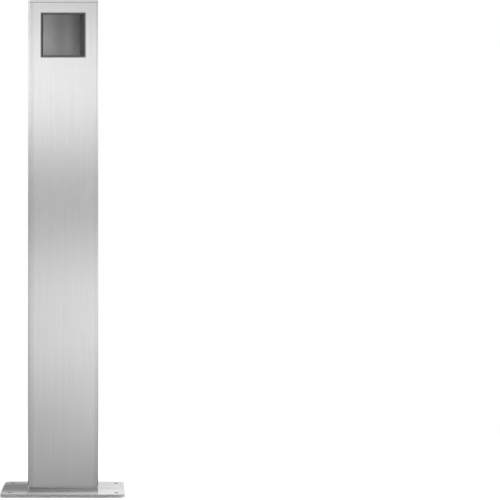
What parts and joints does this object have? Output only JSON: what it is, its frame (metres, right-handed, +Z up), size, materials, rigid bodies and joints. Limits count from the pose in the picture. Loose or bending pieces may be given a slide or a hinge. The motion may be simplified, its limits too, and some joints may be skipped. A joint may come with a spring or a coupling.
{
  "type": "garden socket post",
  "caption": "Stainless steel garden post on an anchor plate, with a mains socket behind a flush hinged lid near the top.",
  "frame": {"origin": "centre of the anchor plate's underside", "axes": "+Z up along the post, -Y out of the front face with the lid, +X to the right seen from the front"},
  "size_m": [0.246, 0.11, 0.986],
  "materials": {
    "column_steel": "vertical brushed grain, satin",
    "plate_steel": "brushed along its length, satin",
    "weld": "weld bead, pickled",
    "inner_steel": "plain cold rolled sheet",
    "fastener_steel": "stainless, bright",
    "zinc_steel": "zinc plated",
    "rubber": "matt",
    "foam_seal": "closed-cell foam",
    "frame_plastic": "fine satin",
    "lid_plastic": "smooth, graphite grey",
    "face_plastic": "smooth",
    "base_plastic": "moulded",
    "box_plastic": "moulded",
    "terminal_plastic": "moulded",
    "clip_plastic": "moulded nylon",
    "brass": "bare",
    "cable_sheath": "matt sheath",
    "lead_sleeve": "insulated cores"
  },
  "bodies": {
    "post": {"base_plate": "plate_steel", "cable_grommet": "rubber", "base_weld": "weld", "column_shell": "column_steel", "rear_panel": "column_steel", "panel_seals": "foam_seal", "rear_panel_screws": "fastener_steel", "rivet_nuts": "fastener_steel", "top_cap": "column_steel", "cap_seal": "foam_seal", "cap_screws": "fastener_steel", "window_collar": "inner_steel", "frame_gasket": "rubber", "insert_frame": "frame_plastic", "frame_screws": "fastener_steel", "hinge_pin": "fastener_steel", "hinge_spring": "fastener_steel", "socket_face": "face_plastic", "face_screw": "fastener_steel", "earth_bow": "fastener_steel", "support_ring": "zinc_steel", "ring_screws": "zinc_steel", "socket_base": "base_plastic", "live_contact": "brass", "neutral_contact": "brass", "contact_screws": "zinc_steel", "device_box": "box_plastic", "box_gland": "rubber", "riser_cable": "cable_sheath", "cable_clips": "clip_plastic", "socket_leads": "lead_sleeve", "terminal_bracket": "inner_steel", "terminal_body": "terminal_plastic", "terminal_clamps": "brass", "clamp_screws": "zinc_steel", "block_screws": "zinc_steel", "terminal_leads": "lead_sleeve", "earth_stud": "fastener_steel", "earth_washers": "zinc_steel", "earth_nut": "zinc_steel", "bond_lug": "zinc_steel", "bond_lead": "lead_sleeve"},
    "lid": {"cover_lid": "lid_plastic", "lid_seal": "rubber"}
  },
  "joints": [
    {"name": "lid_hinge", "type": "hinge", "parent": "post", "child": "lid", "pos_m": [-0.0373, -0.026, 0.916], "axis": [0, 0, -1], "range_deg": [0, 90], "stiffness_Nm_per_rad": 0.01, "springref_deg": -28.65, "deforming": ["hinge_spring"]}
  ]
}
